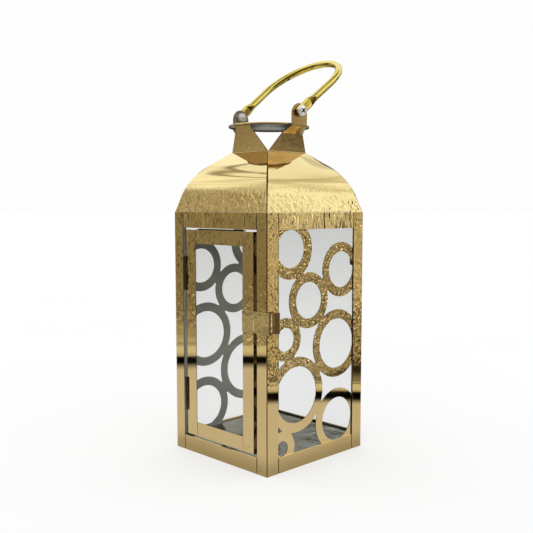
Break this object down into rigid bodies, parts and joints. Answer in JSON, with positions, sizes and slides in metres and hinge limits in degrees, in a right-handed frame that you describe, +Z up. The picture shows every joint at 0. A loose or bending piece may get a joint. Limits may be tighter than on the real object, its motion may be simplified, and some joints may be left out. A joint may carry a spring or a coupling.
{
  "type": "hanging lantern",
  "caption": "Square gold-tone metal and glass candle lantern with a hinged glass door, ring-pattern side screens, a curved vented roof and a folding bail handle.",
  "frame": {"origin": "centre of the square base, on the surface that it stands on", "axes": "+Z up, the door faces -Y, the ring screens face +X and -X, the plain glass back faces +Y"},
  "size_m": [0.1459, 0.1582, 0.4167],
  "materials": {
    "gold_sheet": "mirror-polished gold-tone plating on thin stainless sheet, bare grey steel on the inner side",
    "handle_gold": "polished yellow-gold plated steel tube",
    "bare_steel": "plain rolled stainless sheet",
    "hinge_steel": "dull zinc-plated steel",
    "screw_steel": "bright nickel-plated steel",
    "clear_glass": "clear float glass with polished edges"
  },
  "bodies": {
    "housing": {"back_glass": "clear_glass", "base_tray": "bare_steel", "bottom_rail_back": "gold_sheet", "bottom_rail_front": "gold_sheet", "bottom_rail_left": "gold_sheet", "bottom_rail_right": "gold_sheet", "corner_post_back_left": "gold_sheet", "corner_post_back_right": "gold_sheet", "corner_post_front_left": "gold_sheet", "corner_post_front_right": "gold_sheet", "glass_clips_back": "bare_steel", "glass_clips_left": "bare_steel", "glass_clips_right": "bare_steel", "handle_nuts": "screw_steel", "handle_screws": "screw_steel", "hinge_lower_frame_leaf": "hinge_steel", "hinge_lower_pin": "hinge_steel", "hinge_upper_frame_leaf": "hinge_steel", "hinge_upper_pin": "hinge_steel", "ring_screen_left": "gold_sheet", "ring_screen_right": "gold_sheet", "roof_panel_back": "gold_sheet", "roof_panel_front": "gold_sheet", "roof_panel_left": "gold_sheet", "roof_panel_right": "gold_sheet", "side_glass_left": "clear_glass", "side_glass_right": "clear_glass", "top_rail_back": "gold_sheet", "top_rail_front": "gold_sheet", "top_rail_left": "gold_sheet", "top_rail_right": "gold_sheet", "vent_cap": "gold_sheet"},
    "door": {"door_glass": "clear_glass", "door_glass_clips": "bare_steel", "door_rail_bottom": "gold_sheet", "door_rail_top": "gold_sheet", "door_stile_hinge": "gold_sheet", "door_stile_latch": "gold_sheet", "hinge_lower_door_leaf": "hinge_steel", "hinge_upper_door_leaf": "hinge_steel", "latch_clip": "gold_sheet"},
    "handle": {"handle_tube": "handle_gold"}
  },
  "joints": [
    {"name": "door_hinge", "type": "hinge", "parent": "housing", "child": "door", "pos_m": [-0.05155, -0.0716, 0.1256], "axis": [0, 0, -1], "range_deg": [0, 170]},
    {"name": "handle_pivot", "type": "hinge", "parent": "housing", "child": "handle", "pos_m": [0, 0, 0.352], "axis": [-1, 0, 0], "range_deg": [-178, 72]}
  ]
}
